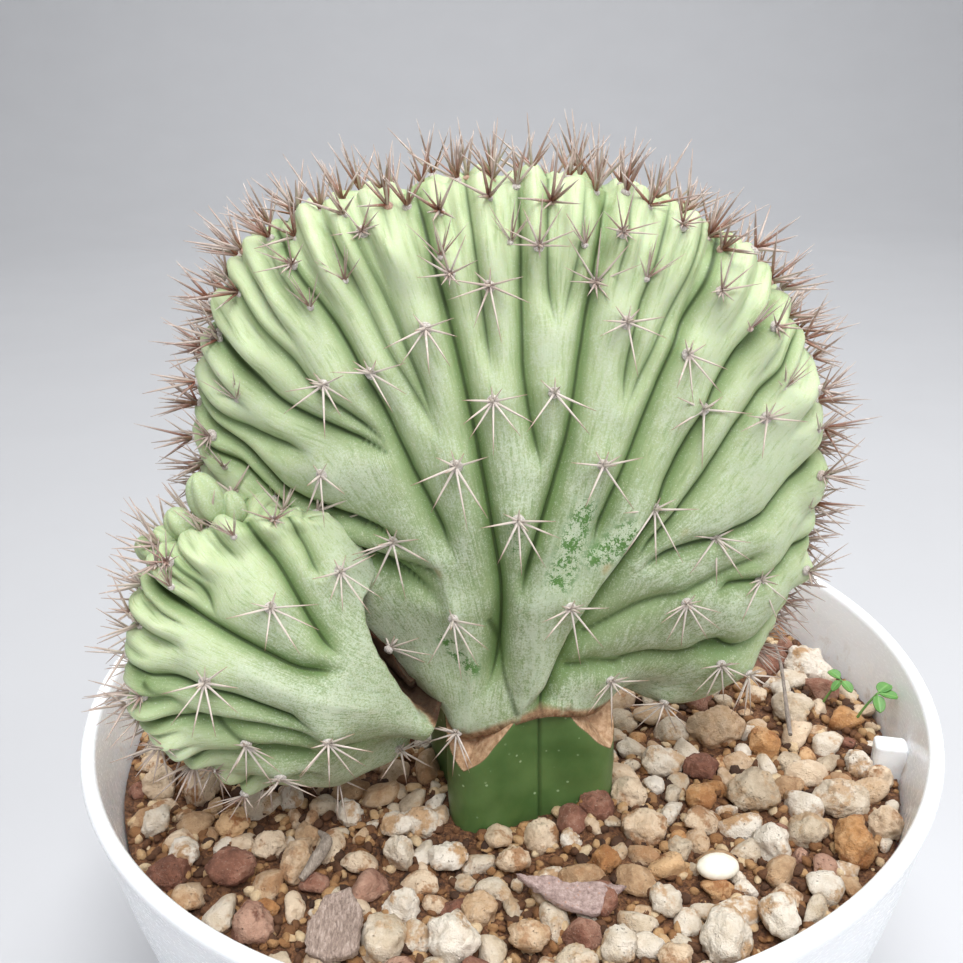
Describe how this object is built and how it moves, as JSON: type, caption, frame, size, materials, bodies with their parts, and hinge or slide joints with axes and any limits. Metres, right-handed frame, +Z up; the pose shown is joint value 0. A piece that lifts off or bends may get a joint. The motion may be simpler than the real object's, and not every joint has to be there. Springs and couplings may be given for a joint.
{
  "type": "potted crested cactus",
  "caption": "Fan-shaped crested cactus with a side lobe, grafted on a ribbed green stump, in gravelly grit in a round white bowl pot.",
  "frame": {"origin": "on the pot's upright axis, at the surface that its foot ring stands on", "axes": "+Z up, through the top of the crest; the broad face of the fan looks along -Y; +X runs to the right of that face"},
  "size_m": [0.1436, 0.1436, 0.1604],
  "materials": {
    "pot_plastic": "smooth white moulded plastic, softly glossy",
    "grit": "brown granular clay grit, matt and damp",
    "rootstock_skin": "deep green waxy stem skin with pale flecks and tan dry cut edges",
    "scion_skin": "grey-green bloomed cactus skin, lighter at the crest",
    "spines": "grey-white to reddish-brown needles on a woolly pad",
    "pebble_cream": "cream pumice, matt, pitted",
    "pebble_tan": "tan pumice, matt, pitted",
    "pebble_orange": "orange-brown stone, matt",
    "pebble_maroon": "dark red lava stone, matt",
    "pellet": "smooth off-white pellet",
    "bark": "grey-brown fibrous flake",
    "dry_leaf": "dry grey curled strip",
    "twig": "thin grey dry twig",
    "seedling": "fresh green leaves on a pinkish stalk"
  },
  "bodies": {
    "root": {"pot": "pot_plastic", "grit": "grit", "rootstock": "rootstock_skin", "crested_scion": "scion_skin", "spine_cluster_01": "spines", "spine_cluster_02": "spines", "spine_cluster_03": "spines", "spine_cluster_04": "spines", "spine_cluster_05": "spines", "spine_cluster_06": "spines", "spine_cluster_07": "spines", "spine_cluster_08": "spines", "spine_cluster_09": "spines", "spine_cluster_10": "spines", "spine_cluster_11": "spines", "spine_cluster_12": "spines", "spine_cluster_13": "spines", "spine_cluster_14": "spines", "spine_cluster_15": "spines", "spine_cluster_16": "spines", "spine_cluster_17": "spines", "spine_cluster_18": "spines", "spine_cluster_19": "spines", "spine_cluster_20": "spines", "pebble_01": "pebble_cream", "pebble_02": "pebble_cream", "pebble_03": "pebble_cream", "pebble_04": "pebble_cream", "pebble_05": "pebble_tan", "pebble_06": "pebble_cream", "pebble_07": "pebble_tan", "pebble_08": "pebble_cream", "pebble_09": "pebble_orange", "pebble_10": "pebble_cream", "pebble_11": "pebble_cream", "pebble_12": "pebble_cream", "pebble_13": "pebble_cream", "pebble_14": "pebble_cream", "pebble_15": "pebble_tan", "pebble_16": "pebble_orange", "pebble_17": "pebble_tan", "pebble_18": "pebble_orange", "pebble_19": "pebble_tan", "pebble_20": "pebble_cream", "pebble_21": "pebble_cream", "pebble_22": "pebble_maroon", "pebble_23": "pebble_maroon", "pebble_24": "pebble_cream", "pebble_25": "pebble_tan", "pebble_26": "pebble_tan", "pebble_27": "pebble_cream", "pebble_28": "pebble_tan", "white_pellet": "pellet", "bark_flake_1": "bark", "bark_flake_2": "bark", "dry_strip": "dry_leaf", "twig": "twig", "seedling_1": "seedling", "seedling_2": "seedling"}
  },
  "joints": []
}
